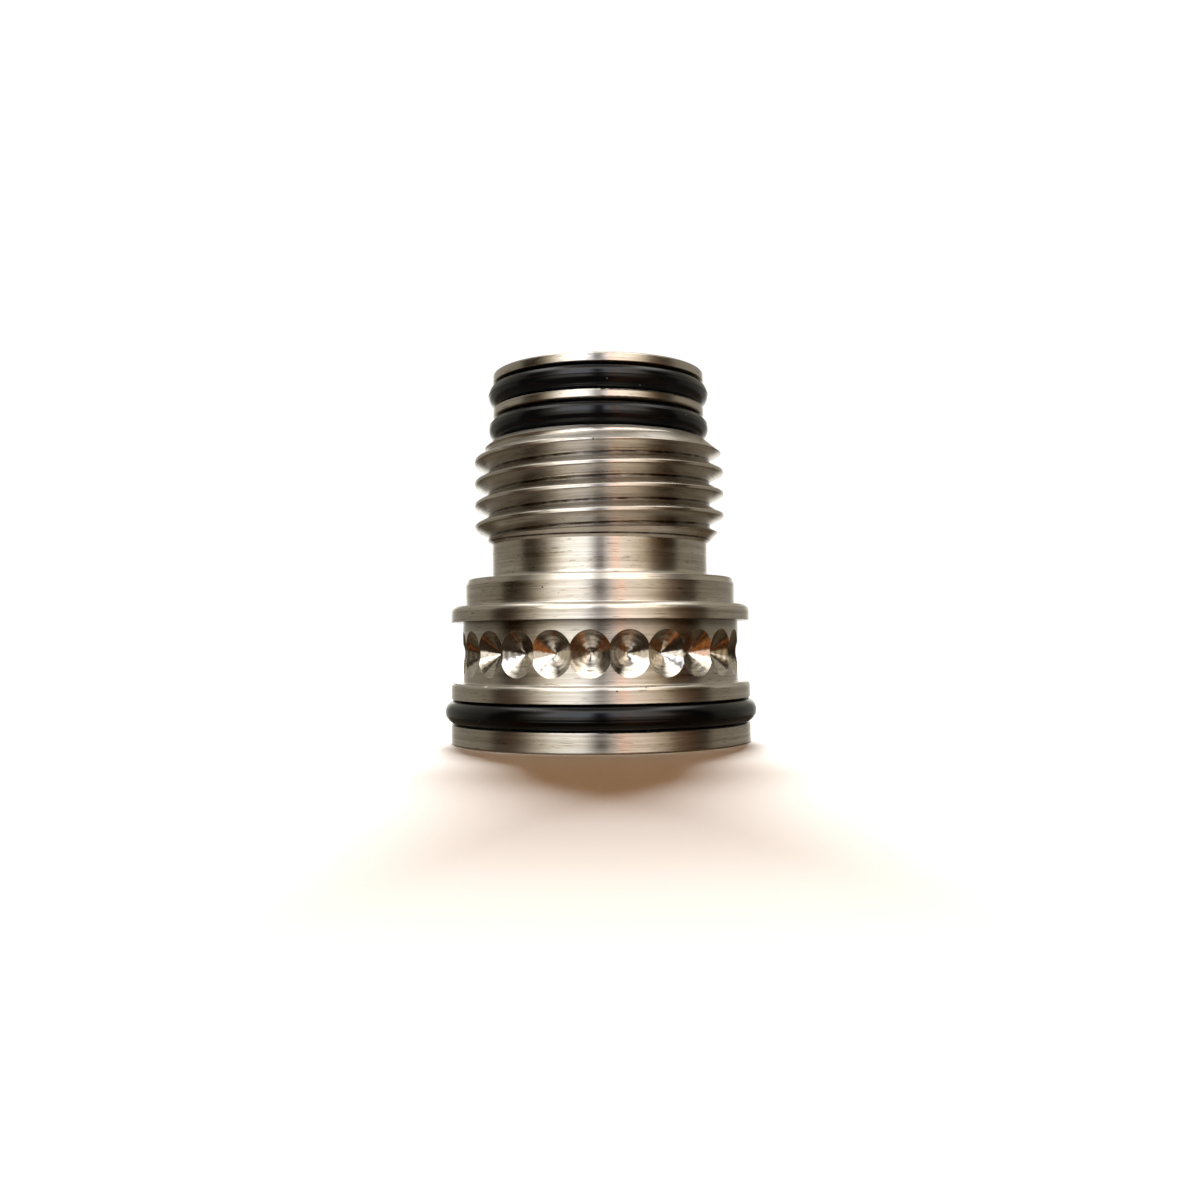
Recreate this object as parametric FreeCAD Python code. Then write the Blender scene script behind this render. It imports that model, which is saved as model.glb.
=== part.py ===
"""Screw-in cartridge valve: an in-line poppet valve with an adjustable spring, millimetres.

The axis is +Z, the origin is the centre of the head's flat outer face, and the nose points up.
Fluid enters at the nose, pushes the poppet down off its seat against the spring, and leaves
through the hollow adjusting and lock screws in the head.
"""
import FreeCAD, Part
import math
import os

from FreeCAD import Vector

# ---- head: disc, seal groove, flange and the band of conical dimples ----
HEAD_RADIUS = 12.5
HEAD_DISC_LENGTH = 1.6
HEAD_FLANGE_LENGTH = 1.33
HEAD_EDGE_RADIUS = 0.15
FLANGE_EDGE_RADIUS = 0.32
BAND_STEP = 1.0
BAND_LENGTH = 5.0
DIMPLE_COUNT = 24
DIMPLE_RIM_RADIUS = 1.84
DIMPLE_INCLUDED_ANGLE = 110.0
DIMPLE_HEIGHT = 2.4
DIMPLE_START_ANGLE = -93.9
DIMPLE_PIP_RADIUS = 0.13
DIMPLE_PIP_DEPTH = 0.12

# ---- rib, shoulder and neck ----
RIB_LENGTH = 1.3
RIB_SETBACK = 0.05
RIB_EDGE_RADIUS = 0.55
SHOULDER_STEP = 0.25
SHOULDER_LENGTH = 2.2
SHOULDER_BEVEL_LENGTH = 0.5
SHOULDER_BEVEL_DEPTH = 0.2
NECK_RELIEF = 0.3
NECK_LENGTH = 2.9
NECK_FILLET = 0.45

# ---- outer thread, G 1/2 parallel pipe thread ----
THREAD_MAJOR_RADIUS = 10.478
THREAD_PITCH = 1.814
THREAD_LENGTH = 8.65
THREAD_FLANK_ANGLE = 27.5
THREAD_CREST_LAND = 0.05
THREAD_CREST_TRIM = 0.006
THREAD_START_DROP = 0.33
THREAD_LEAD_LENGTH = 1.25
THREAD_LEAD_RADIUS = 9.0

# ---- nose: two seal grooves between three lands ----
NOSE_RADIUS = 8.88
NOSE_RIB_LENGTH = 0.75
NOSE_FLANGE_LENGTH = 0.76
NOSE_EDGE_RADIUS = 0.16

# ---- outer seal rings ----
NOSE_RING_SECTION = 2.06
NOSE_RING_STANDOUT = 0.37
NOSE_RING_SIDE_GAP = 0.03
HEAD_RING_SECTION = 2.0
HEAD_RING_STANDOUT = 0.5
HEAD_RING_SIDE_GAP = 0.035
RING_BOTTOM_GAP = 0.02

# ---- bores of the body ----
NOSE_BORE_RADIUS = 5.75
NOSE_MOUTH_CHAMFER = 0.35
LEDGE_RISE = 0.2
LEDGE_THICKNESS = 1.0
LEDGE_BORE_RADIUS = 4.6
CHAMBER_RADIUS = 6.5
SCREW_BORE_RADIUS = 7.175
SCREW_RELIEF_LENGTH = 0.8
SCREW_RELIEF_DEPTH = 0.4
HEAD_BORE_RADIUS = 8.0
HEAD_MOUTH_CHAMFER = 0.3
SPANNER_HOLE_COUNT = 4
SPANNER_HOLE_RADIUS = 0.8
SPANNER_HOLE_DEPTH = 2.2

# ---- retaining rings, as (thickness, setback, groove depth, band, lug radius, lug hole radius) ----
HEAD_CLIP = (1.0, 0.75, 0.4, 1.4, 1.3, 0.65)
NOSE_CLIP = (0.7, 0.6, 0.4, 1.0, 0.95, 0.4)
CLIP_SIDE_GAP = 0.05
CLIP_RIM_GAP = 0.04
CLIP_GAP_ANGLE = 34.0

# ---- seat insert, its seal and the inlet screen ----
FIT_GAP = 0.02
SEAT_ORIFICE_RADIUS = 2.8
SEAT_SPIGOT_LENGTH = 1.9
SEAT_LIP_LENGTH = 0.7
SEAT_LIP_WALL = 0.5
SEAT_MOUTH_CHAMFER = 1.2
SEAT_RING_SECTION = 0.94
SEAT_GROOVE_WIDTH = 1.2
SCREEN_THICKNESS = 0.3
SCREEN_RIM_HEIGHT = 1.0
SCREEN_RIM_WALL = 0.75
SCREEN_HOLE_RADIUS = 0.36
SCREEN_HOLE_PITCH = 1.0

# ---- poppet, its soft seal and the screw that clamps it ----
POPPET_RADIUS = 5.0
POPPET_HEAD_LENGTH = 2.8
POPPET_CHAMFER = 0.9
POPPET_BOSS_LENGTH = 3.5
SEAL_RADIUS = 4.3
SEAL_THICKNESS = 1.2
SEAL_PROUD = 0.1
RETAINER_HEAD_RADIUS = 1.8
RETAINER_HEAD_LENGTH = 0.9
RETAINER_SHANK_RADIUS = 1.0
RETAINER_SHANK_LENGTH = 3.4
RETAINER_SLOT_WIDTH = 0.5
RETAINER_SLOT_DEPTH = 0.45
STEM_RADIUS = 1.5
STEM_TIP_CHAMFER = 0.3
STEM_TAIL = 0.3
POPPET_LIFT = 2.0

# ---- spring, and the carrier that it stands on ----
SPRING_WIRE_RADIUS = 0.35
SPRING_MEAN_RADIUS = 3.4
SPRING_TURNS = 5.5
SPRING_SEAT_THICKNESS = 0.4
SPRING_BOSS_GAP = 0.15
CARRIER_LENGTH = 3.0
CARRIER_BORE_GAP = 0.05
CARRIER_HUB_RADIUS = 4.25
CARRIER_HUB_LENGTH = 2.0
CARRIER_RING_WALL = 0.85
CARRIER_ARM_WIDTH = 1.6
CARRIER_ARM_COUNT = 3
CARRIER_STOP_GAP = 0.1
BUSH_WALL = 0.75
BUSH_FLANGE_THICKNESS = 0.4
STEM_CLEARANCE = 0.03

# ---- screw stack in the head ----
SCREW_CLEARANCE = 0.06
SCREW_EDGE_CHAMFER = 0.3
LOCK_SCREW_LENGTH = 2.5
LOCK_SCREW_HEX = 8.0
LOCK_SCREW_TRAVEL = 0.8
LOCK_WASHER_THICKNESS = 0.4
ADJUSTING_SCREW_LENGTH = 3.3
ADJUSTING_SCREW_HEX = 7.0
ADJUSTING_SCREW_TRAVEL = 1.0
THRUST_WASHER_THICKNESS = 0.5
THRUST_WASHER_WALL = 1.0
WASHER_RIM_GAP = 0.1
HEX_MOUTH_CHAMFER = 0.3

# ---- outer levels up the axis ----
head_groove_width = HEAD_RING_SECTION + 2 * HEAD_RING_SIDE_GAP
nose_groove_width = NOSE_RING_SECTION + 2 * NOSE_RING_SIDE_GAP
z_flange = HEAD_DISC_LENGTH + head_groove_width
z_band = z_flange + HEAD_FLANGE_LENGTH
z_rib = z_band + BAND_LENGTH
z_shoulder = z_rib + RIB_LENGTH
z_neck = z_shoulder + SHOULDER_LENGTH
z_thread = z_neck + NECK_LENGTH
z_rear_groove = z_thread + THREAD_LENGTH
z_nose_rib = z_rear_groove + nose_groove_width
z_front_groove = z_nose_rib + NOSE_RIB_LENGTH
z_nose_flange = z_front_groove + nose_groove_width
z_top = z_nose_flange + NOSE_FLANGE_LENGTH

# ---- radii that follow ----
band_radius = HEAD_RADIUS - BAND_STEP
shoulder_radius = band_radius - SHOULDER_STEP
thread_height = THREAD_PITCH / (2 * math.tan(math.radians(THREAD_FLANK_ANGLE)))
thread_root_radius = THREAD_MAJOR_RADIUS - thread_height * 2 / 3
neck_radius = thread_root_radius - NECK_RELIEF
head_ring_mid_radius = HEAD_RADIUS + HEAD_RING_STANDOUT - HEAD_RING_SECTION / 2
nose_ring_mid_radius = NOSE_RADIUS + NOSE_RING_STANDOUT - NOSE_RING_SECTION / 2
head_groove_radius = head_ring_mid_radius - HEAD_RING_SECTION / 2 - RING_BOTTOM_GAP
nose_groove_radius = nose_ring_mid_radius - NOSE_RING_SECTION / 2 - RING_BOTTOM_GAP
screw_radius = SCREW_BORE_RADIUS - SCREW_CLEARANCE
seat_radius = NOSE_BORE_RADIUS - FIT_GAP
spigot_radius = LEDGE_BORE_RADIUS - FIT_GAP
bush_radius = STEM_RADIUS + STEM_CLEARANCE + BUSH_WALL
boss_radius = SPRING_MEAN_RADIUS - SPRING_WIRE_RADIUS - SPRING_BOSS_GAP
carrier_radius = CHAMBER_RADIUS - CARRIER_BORE_GAP
head_clip_groove_radius = HEAD_BORE_RADIUS + HEAD_CLIP[2]
nose_clip_groove_radius = NOSE_BORE_RADIUS + NOSE_CLIP[2]
spanner_circle_radius = (head_clip_groove_radius + head_groove_radius) / 2

# ---- levels of the screw stack and the carrier, from the head's face upwards ----
z_head_clip = HEAD_CLIP[1]
z_head_bore_end = z_head_clip + HEAD_CLIP[0] + CLIP_SIDE_GAP + LOCK_SCREW_TRAVEL / 2
z_lock = z_head_clip + HEAD_CLIP[0] + CLIP_SIDE_GAP + LOCK_SCREW_TRAVEL + ADJUSTING_SCREW_TRAVEL
z_lock_washer = z_lock + LOCK_SCREW_LENGTH
z_adjuster = z_lock_washer + LOCK_WASHER_THICKNESS
z_thrust_washer = z_adjuster + ADJUSTING_SCREW_LENGTH
z_carrier = z_thrust_washer + THRUST_WASHER_THICKNESS
z_carrier_top = z_carrier + CARRIER_LENGTH
z_hub = z_carrier_top - CARRIER_HUB_LENGTH
z_spring_foot = z_carrier_top + SPRING_SEAT_THICKNESS
z_chamber = z_thrust_washer + SCREW_RELIEF_LENGTH / 2
z_relief = z_chamber - SCREW_RELIEF_LENGTH

# ---- levels of the seat, screen and poppet, from the nose downwards ----
z_ledge_top = z_rear_groove + LEDGE_RISE
z_ledge_bottom = z_ledge_top - LEDGE_THICKNESS
z_lip = z_ledge_top - SEAT_SPIGOT_LENGTH
z_nose_clip = z_top - NOSE_CLIP[1] - NOSE_CLIP[0]
z_screen_top = z_nose_clip - CLIP_SIDE_GAP
z_seat_top = z_screen_top - SCREEN_RIM_HEIGHT
z_seat_groove = (z_ledge_top + z_seat_top - SEAT_GROOVE_WIDTH) / 2
z_poppet_face = z_lip - SEAL_PROUD
z_poppet_under = z_poppet_face - POPPET_HEAD_LENGTH
z_poppet_boss = z_poppet_under - POPPET_BOSS_LENGTH
z_bush_top = z_poppet_boss - POPPET_LIFT - CARRIER_STOP_GAP
z_stem_end = z_hub - STEM_TAIL


def outline(corners):
    """Closed wire in the XZ half-plane through (radius, height) corners. A third number is the
    radius that rounds that corner."""
    points = [Vector(c[0], 0, c[1]) for c in corners]
    starts = []
    edges = []
    for i, corner in enumerate(corners):
        here = points[i]
        if len(corner) < 3:
            starts.append((here, here))
            continue
        back = (points[i - 1] - here).normalize()
        ahead = (points[(i + 1) % len(points)] - here).normalize()
        half = back.getAngle(ahead) / 2
        middle = (back + ahead).normalize()
        leg = corner[2] / math.tan(half)
        reach = corner[2] / math.sin(half) - corner[2]
        starts.append((here + back * leg, here + ahead * leg))
        edges.append(Part.Arc(here + back * leg, here + middle * reach, here + ahead * leg).toShape())
    for i, ends in enumerate(starts):
        following = starts[(i + 1) % len(starts)][0]
        if ends[1].distanceToPoint(following) > 1e-6:
            edges.append(Part.LineSegment(ends[1], following).toShape())
    return Part.Wire(Part.__sortEdges__(edges))


def turned(corners):
    """Solid of revolution about the valve's axis."""
    return Part.Face(outline(corners)).revolve(Vector(0, 0, 0), Vector(0, 0, 1), 360)


def cylinder(radius, low, high):
    return Part.makeCylinder(radius, high - low, Vector(0, 0, low))


def tube(inner, outer, low, high):
    return cylinder(outer, low, high).cut(cylinder(inner, low, high))


def seal_ring(mid_radius, section, height):
    return Part.makeTorus(mid_radius, section / 2, Vector(0, 0, height), Vector(0, 0, 1))


def hexagon(across_flats, low, high):
    corner = across_flats / math.sqrt(3)
    angles = [math.radians(60 * i) for i in range(7)]
    points = [Vector(corner * math.cos(a), corner * math.sin(a), low) for a in angles]
    return Part.Face(Part.makePolygon(points)).extrude(Vector(0, 0, high - low))


def around(shape, count, start=0.0):
    """Copies of a shape spaced evenly about the axis."""
    copies = []
    for i in range(count):
        copies.append(shape.rotated(Vector(0, 0, 0), Vector(0, 0, 1), start + 360.0 * i / count))
    return copies


def helical(profile, pitch, low, high, radius):
    """Solid swept by a closed wire along a right-hand helix that starts at +X at height low."""
    path = Part.makeHelix(pitch, high - low, radius)
    solid = Part.Wire(path.Edges).makePipeShell([profile], True, True)
    solid.translate(Vector(0, 0, low))
    return solid


def thread_groove():
    """The G 1/2 groove: 55 degree flanks with the standard rounding at the root and the crests."""
    slope = math.tan(math.radians(THREAD_FLANK_ANGLE))
    apex_radius = thread_root_radius - thread_height / 6
    root_rounding = 0.1373 * THREAD_PITCH
    crest_rounding = (THREAD_PITCH / 12 - THREAD_CREST_LAND) / math.tan(math.radians(
        45 - THREAD_FLANK_ANGLE / 2))
    crest_half = (THREAD_MAJOR_RADIUS - apex_radius) * slope
    top_half = (THREAD_PITCH - THREAD_CREST_LAND) / 2
    clear_radius = THREAD_MAJOR_RADIUS + 0.2
    profile = outline([(apex_radius, 0, root_rounding), (THREAD_MAJOR_RADIUS, crest_half, crest_rounding),
                       (THREAD_MAJOR_RADIUS, top_half), (clear_radius, top_half),
                       (clear_radius, -top_half), (THREAD_MAJOR_RADIUS, -top_half),
                       (THREAD_MAJOR_RADIUS, -crest_half, crest_rounding)])
    start = z_thread - THREAD_START_DROP
    return helical(profile, THREAD_PITCH, start, z_rear_groove + THREAD_PITCH, THREAD_MAJOR_RADIUS)


def dimple():
    """Cone cutter on +X, with the small pip that its drill leaves at the bottom."""
    half_angle = math.radians(DIMPLE_INCLUDED_ANGLE / 2)
    depth = DIMPLE_RIM_RADIUS / math.tan(half_angle)
    tip = Vector(band_radius - depth, 0, z_band + DIMPLE_HEIGHT)
    overrun = 0.1
    cone = Part.makeCone(0, DIMPLE_RIM_RADIUS + overrun * math.tan(half_angle), depth + overrun,
                         tip, Vector(1, 0, 0))
    pip = Part.makeCylinder(DIMPLE_PIP_RADIUS, 2 * DIMPLE_PIP_DEPTH,
                            tip - Vector(DIMPLE_PIP_DEPTH, 0, 0), Vector(1, 0, 0))
    return cone.fuse(pip)


def valve_body():
    crest_radius = THREAD_MAJOR_RADIUS - THREAD_CREST_TRIM
    cone_top = z_thread + crest_radius - neck_radius
    rib_radius = HEAD_RADIUS - RIB_SETBACK
    outside = [
        (0, 0), (HEAD_RADIUS, 0, HEAD_EDGE_RADIUS), (HEAD_RADIUS, HEAD_DISC_LENGTH, 0.06),
        (head_groove_radius, HEAD_DISC_LENGTH, 0.12), (head_groove_radius, z_flange, 0.12),
        (HEAD_RADIUS, z_flange, 0.06), (HEAD_RADIUS, z_band, FLANGE_EDGE_RADIUS),
        (band_radius, z_band, 0.1), (band_radius, z_rib, 0.05), (rib_radius, z_rib),
        (rib_radius, z_shoulder, RIB_EDGE_RADIUS), (shoulder_radius, z_shoulder, 0.1),
        (shoulder_radius, z_neck - SHOULDER_BEVEL_LENGTH),
        (shoulder_radius - SHOULDER_BEVEL_DEPTH, z_neck, 0.08), (neck_radius, z_neck, NECK_FILLET),
        (neck_radius, z_thread), (crest_radius, cone_top),
        (crest_radius, z_rear_groove - THREAD_LEAD_LENGTH), (THREAD_LEAD_RADIUS, z_rear_groove),
        (nose_groove_radius, z_rear_groove, 0.15), (nose_groove_radius, z_nose_rib, 0.15),
        (NOSE_RADIUS, z_nose_rib, NOSE_EDGE_RADIUS), (NOSE_RADIUS, z_front_groove, NOSE_EDGE_RADIUS),
        (nose_groove_radius, z_front_groove, 0.15), (nose_groove_radius, z_nose_flange, 0.15),
        (NOSE_RADIUS, z_nose_flange, 0.08), (NOSE_RADIUS, z_top, NOSE_EDGE_RADIUS), (0, z_top)]
    inside = [
        (0, -1), (HEAD_BORE_RADIUS + HEAD_MOUTH_CHAMFER + 1, -1),
        (HEAD_BORE_RADIUS + HEAD_MOUTH_CHAMFER, 0), (HEAD_BORE_RADIUS, HEAD_MOUTH_CHAMFER),
        (HEAD_BORE_RADIUS, z_head_bore_end), (SCREW_BORE_RADIUS, z_head_bore_end),
        (SCREW_BORE_RADIUS, z_relief), (SCREW_BORE_RADIUS + SCREW_RELIEF_DEPTH, z_relief),
        (SCREW_BORE_RADIUS + SCREW_RELIEF_DEPTH, z_chamber), (CHAMBER_RADIUS, z_chamber),
        (CHAMBER_RADIUS, z_ledge_bottom, 0.3), (LEDGE_BORE_RADIUS, z_ledge_bottom),
        (LEDGE_BORE_RADIUS, z_ledge_top), (NOSE_BORE_RADIUS, z_ledge_top),
        (NOSE_BORE_RADIUS, z_top - NOSE_MOUTH_CHAMFER), (NOSE_BORE_RADIUS + NOSE_MOUTH_CHAMFER, z_top),
        (NOSE_BORE_RADIUS + NOSE_MOUTH_CHAMFER + 1, z_top + 1), (0, z_top + 1)]
    body = turned(outside).cut(thread_groove())
    cutters = [turned(inside)]
    cutters.append(tube(HEAD_BORE_RADIUS - 1, head_clip_groove_radius, z_head_clip - CLIP_SIDE_GAP,
                        z_head_clip + HEAD_CLIP[0] + CLIP_SIDE_GAP))
    cutters.append(tube(NOSE_BORE_RADIUS - 1, nose_clip_groove_radius, z_nose_clip - CLIP_SIDE_GAP,
                        z_nose_clip + NOSE_CLIP[0] + CLIP_SIDE_GAP))
    hole = Part.makeCylinder(SPANNER_HOLE_RADIUS, SPANNER_HOLE_DEPTH + 1,
                             Vector(spanner_circle_radius, 0, -1))
    cutters.extend(around(hole, SPANNER_HOLE_COUNT, 45.0))
    cutters.extend(around(dimple(), DIMPLE_COUNT, DIMPLE_START_ANGLE))
    return body.cut(cutters)


def retaining_ring(bore_radius, clip, low, facing):
    """Internal circlip with two drilled lugs. facing is the direction of its gap in degrees."""
    thickness, setback, groove_depth, band, lug_radius, hole_radius = clip
    outer = bore_radius + groove_depth - CLIP_RIM_GAP
    high = low + thickness
    ring = tube(outer - band, outer, low, high)
    half_gap = math.radians(CLIP_GAP_ANGLE / 2)
    reach = 2 * outer
    gap = Part.Face(Part.makePolygon([
        Vector(0, 0, low), Vector(reach * math.cos(half_gap), -reach * math.sin(half_gap), low),
        Vector(reach * math.cos(half_gap), reach * math.sin(half_gap), low), Vector(0, 0, low)]))
    ring = ring.cut(gap.extrude(Vector(0, 0, thickness)))
    lug_circle = bore_radius - 0.15 - lug_radius
    for side in (-1, 1):
        angle = side * (half_gap + 0.6 * lug_radius / lug_circle)
        centre = Vector(lug_circle * math.cos(angle), lug_circle * math.sin(angle), low)
        ring = ring.fuse(Part.makeCylinder(lug_radius, thickness, centre))
        ring = ring.cut(Part.makeCylinder(hole_radius, thickness, centre))
    return ring.removeSplitter().rotated(Vector(0, 0, 0), Vector(0, 0, 1), facing)


def seat_insert():
    lip_outer = SEAT_ORIFICE_RADIUS + SEAT_LIP_WALL
    mouth_radius = SEAT_ORIFICE_RADIUS + SEAT_MOUTH_CHAMFER
    groove_radius = NOSE_BORE_RADIUS - SEAT_RING_SECTION - 2 * RING_BOTTOM_GAP
    groove_top = z_seat_groove + SEAT_GROOVE_WIDTH
    return turned([
        (SEAT_ORIFICE_RADIUS, z_lip, 0.1), (lip_outer, z_lip, 0.1), (lip_outer, z_lip + SEAT_LIP_LENGTH),
        (spigot_radius, z_lip + SEAT_LIP_LENGTH), (spigot_radius, z_ledge_top),
        (seat_radius, z_ledge_top), (seat_radius, z_seat_groove), (groove_radius, z_seat_groove),
        (groove_radius, groove_top), (seat_radius, groove_top), (seat_radius, z_seat_top),
        (mouth_radius, z_seat_top), (SEAT_ORIFICE_RADIUS, z_seat_top - SEAT_MOUTH_CHAMFER)])


def seat_seal_ring():
    mid_radius = NOSE_BORE_RADIUS - RING_BOTTOM_GAP - SEAT_RING_SECTION / 2
    return seal_ring(mid_radius, SEAT_RING_SECTION, z_seat_groove + SEAT_GROOVE_WIDTH / 2)


def inlet_screen():
    """Pressed cup with its perforated face outwards and its rim on the seat insert."""
    rim_inner = seat_radius - SCREEN_RIM_WALL
    floor = z_screen_top - SCREEN_THICKNESS
    cup = turned([(0, floor), (rim_inner, floor, 0.15), (rim_inner, z_seat_top),
                  (seat_radius, z_seat_top), (seat_radius, z_screen_top, 0.2), (0, z_screen_top)])
    reach = rim_inner - SCREEN_HOLE_RADIUS - 0.1
    row_height = SCREEN_HOLE_PITCH * math.sqrt(3) / 2
    rows = int(reach / row_height)
    holes = []
    for row in range(-rows, rows + 1):
        shift = SCREEN_HOLE_PITCH / 2 * (row % 2)
        columns = int(reach / SCREEN_HOLE_PITCH) + 1
        for column in range(-columns, columns + 1):
            x = column * SCREEN_HOLE_PITCH + shift
            y = row * row_height
            if math.hypot(x, y) <= reach:
                holes.append(Part.makeCylinder(SCREEN_HOLE_RADIUS, SCREEN_THICKNESS + 1,
                                               Vector(x, y, floor - 0.5)))
    return cup.cut(holes)


def poppet():
    recess_radius = SEAL_RADIUS + FIT_GAP
    recess_floor = z_poppet_face - SEAL_THICKNESS + SEAL_PROUD
    hole_floor = z_lip - RETAINER_SHANK_LENGTH - 0.3
    tip = STEM_TIP_CHAMFER
    return turned([
        (0, z_stem_end), (STEM_RADIUS - tip, z_stem_end), (STEM_RADIUS, z_stem_end + tip),
        (STEM_RADIUS, z_poppet_boss, 0.2), (boss_radius - 0.3, z_poppet_boss),
        (boss_radius, z_poppet_boss + 0.3), (boss_radius, z_poppet_under),
        (POPPET_RADIUS - POPPET_CHAMFER, z_poppet_under, 0.3),
        (POPPET_RADIUS, z_poppet_under + POPPET_CHAMFER, 0.3), (POPPET_RADIUS, z_poppet_face, 0.2),
        (recess_radius, z_poppet_face), (recess_radius, recess_floor),
        (RETAINER_SHANK_RADIUS + FIT_GAP, recess_floor), (RETAINER_SHANK_RADIUS + FIT_GAP, hole_floor),
        (0, hole_floor - 0.5)])


def poppet_seal():
    return turned([(RETAINER_SHANK_RADIUS + FIT_GAP, z_lip - SEAL_THICKNESS),
                   (SEAL_RADIUS, z_lip - SEAL_THICKNESS), (SEAL_RADIUS, z_lip, 0.15),
                   (RETAINER_SHANK_RADIUS + FIT_GAP, z_lip)])


def seal_retainer_screw():
    head_top = z_lip + RETAINER_HEAD_LENGTH
    tip = z_lip - RETAINER_SHANK_LENGTH
    screw = turned([(0, tip), (RETAINER_SHANK_RADIUS - 0.2, tip), (RETAINER_SHANK_RADIUS, tip + 0.2),
                    (RETAINER_SHANK_RADIUS, z_lip), (RETAINER_HEAD_RADIUS, z_lip),
                    (RETAINER_HEAD_RADIUS, head_top, 0.35), (0, head_top)])
    slot = Part.makeBox(2 * RETAINER_HEAD_RADIUS + 1, RETAINER_SLOT_WIDTH, RETAINER_SLOT_DEPTH,
                        Vector(-RETAINER_HEAD_RADIUS - 0.5, -RETAINER_SLOT_WIDTH / 2,
                               head_top - RETAINER_SLOT_DEPTH))
    return screw.cut(slot)


def poppet_spring():
    """Round-wire compression spring with its end coils ground flat on both seats."""
    pitch = (z_poppet_under - z_spring_foot) / SPRING_TURNS
    overrun = SPRING_WIRE_RADIUS / 3
    low = z_spring_foot - overrun
    high = z_poppet_under + overrun
    circle = Part.makeCircle(SPRING_WIRE_RADIUS, Vector(SPRING_MEAN_RADIUS, 0, 0), Vector(0, 1, 0))
    coil = helical(Part.Wire(circle), pitch, low, high, SPRING_MEAN_RADIUS)
    reach = SPRING_MEAN_RADIUS + 2 * SPRING_WIRE_RADIUS
    return coil.common(cylinder(reach, z_spring_foot, z_poppet_under))


def spring_carrier():
    """Guide ring, spoked hub and boss. The fluid passes between the spokes."""
    ring = tube(carrier_radius - CARRIER_RING_WALL, carrier_radius, z_carrier, z_carrier_top)
    ring = ring.fuse(cylinder(CARRIER_HUB_RADIUS, z_hub, z_carrier_top))
    length = carrier_radius - CARRIER_RING_WALL / 2
    arm = Part.makeBox(length, CARRIER_ARM_WIDTH, CARRIER_HUB_LENGTH,
                       Vector(0, -CARRIER_ARM_WIDTH / 2, z_hub))
    boss_top = z_bush_top - BUSH_FLANGE_THICKNESS
    carrier = ring.fuse(around(arm, CARRIER_ARM_COUNT, 30.0))
    carrier = carrier.fuse(cylinder(boss_radius, z_carrier_top, boss_top))
    return carrier.cut(cylinder(bush_radius, z_hub - 1, boss_top + 1)).removeSplitter()


def guide_bush():
    """Flanged bush pressed into the carrier's hub. The poppet's stem slides in it."""
    flange_foot = z_bush_top - BUSH_FLANGE_THICKNESS
    bore = STEM_RADIUS + STEM_CLEARANCE
    return turned([(bore, z_hub), (bush_radius, z_hub), (bush_radius, flange_foot),
                   (boss_radius, flange_foot), (boss_radius, z_bush_top, 0.12),
                   (bore + 0.15, z_bush_top), (bore, z_bush_top - 0.15)])


def spring_seat_washer():
    return tube(boss_radius + SPRING_BOSS_GAP / 2, CARRIER_HUB_RADIUS, z_carrier_top, z_spring_foot)


def thrust_washer():
    outer = CHAMBER_RADIUS - WASHER_RIM_GAP
    return tube(outer - THRUST_WASHER_WALL, outer, z_thrust_washer, z_carrier)


def hollow_screw(across_flats, low, high):
    """Headless screw with a hexagon right through it, for the key and the flow."""
    c = SCREW_EDGE_CHAMFER
    screw = turned([(0, low), (screw_radius - c, low), (screw_radius, low + c),
                    (screw_radius, high - c), (screw_radius - c, high), (0, high)])
    corner = across_flats / math.sqrt(3)
    mouth = Part.makeCone(corner + 0.1, corner + 0.1 - HEX_MOUTH_CHAMFER, HEX_MOUTH_CHAMFER,
                          Vector(0, 0, low))
    return screw.cut([hexagon(across_flats, low - 1, high + 1), mouth])


def lock_washer():
    inner = LOCK_SCREW_HEX / math.sqrt(3) + 0.2
    return tube(inner, screw_radius - WASHER_RIM_GAP, z_lock_washer, z_adjuster)


nodes = {
    "valve_body": valve_body(),
    "head_o_ring": seal_ring(head_ring_mid_radius, HEAD_RING_SECTION,
                             HEAD_DISC_LENGTH + head_groove_width / 2),
    "nose_o_ring_rear": seal_ring(nose_ring_mid_radius, NOSE_RING_SECTION,
                                  z_rear_groove + nose_groove_width / 2),
    "nose_o_ring_front": seal_ring(nose_ring_mid_radius, NOSE_RING_SECTION,
                                   z_front_groove + nose_groove_width / 2),
    "seat_insert": seat_insert(),
    "seat_o_ring": seat_seal_ring(),
    "inlet_screen": inlet_screen(),
    "nose_retaining_ring": retaining_ring(NOSE_BORE_RADIUS, NOSE_CLIP, z_nose_clip, 60.0),
    "poppet": poppet(),
    "poppet_seal": poppet_seal(),
    "seal_retainer_screw": seal_retainer_screw(),
    "poppet_spring": poppet_spring(),
    "spring_carrier": spring_carrier(),
    "guide_bush": guide_bush(),
    "spring_seat_washer": spring_seat_washer(),
    "thrust_washer": thrust_washer(),
    "adjusting_screw": hollow_screw(ADJUSTING_SCREW_HEX, z_adjuster, z_thrust_washer),
    "lock_washer": lock_washer(),
    "lock_screw": hollow_screw(LOCK_SCREW_HEX, z_lock, z_lock_washer),
    "head_retaining_ring": retaining_ring(HEAD_BORE_RADIUS, HEAD_CLIP, z_head_clip, 90.0),
}

os.makedirs("parts", exist_ok=True)
for name, shape in nodes.items():
    shape.exportStep("parts/" + name + ".step")
    print(name, len(shape.Solids), shape.isValid(), round(shape.Volume, 2))
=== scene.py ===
import math

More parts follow.
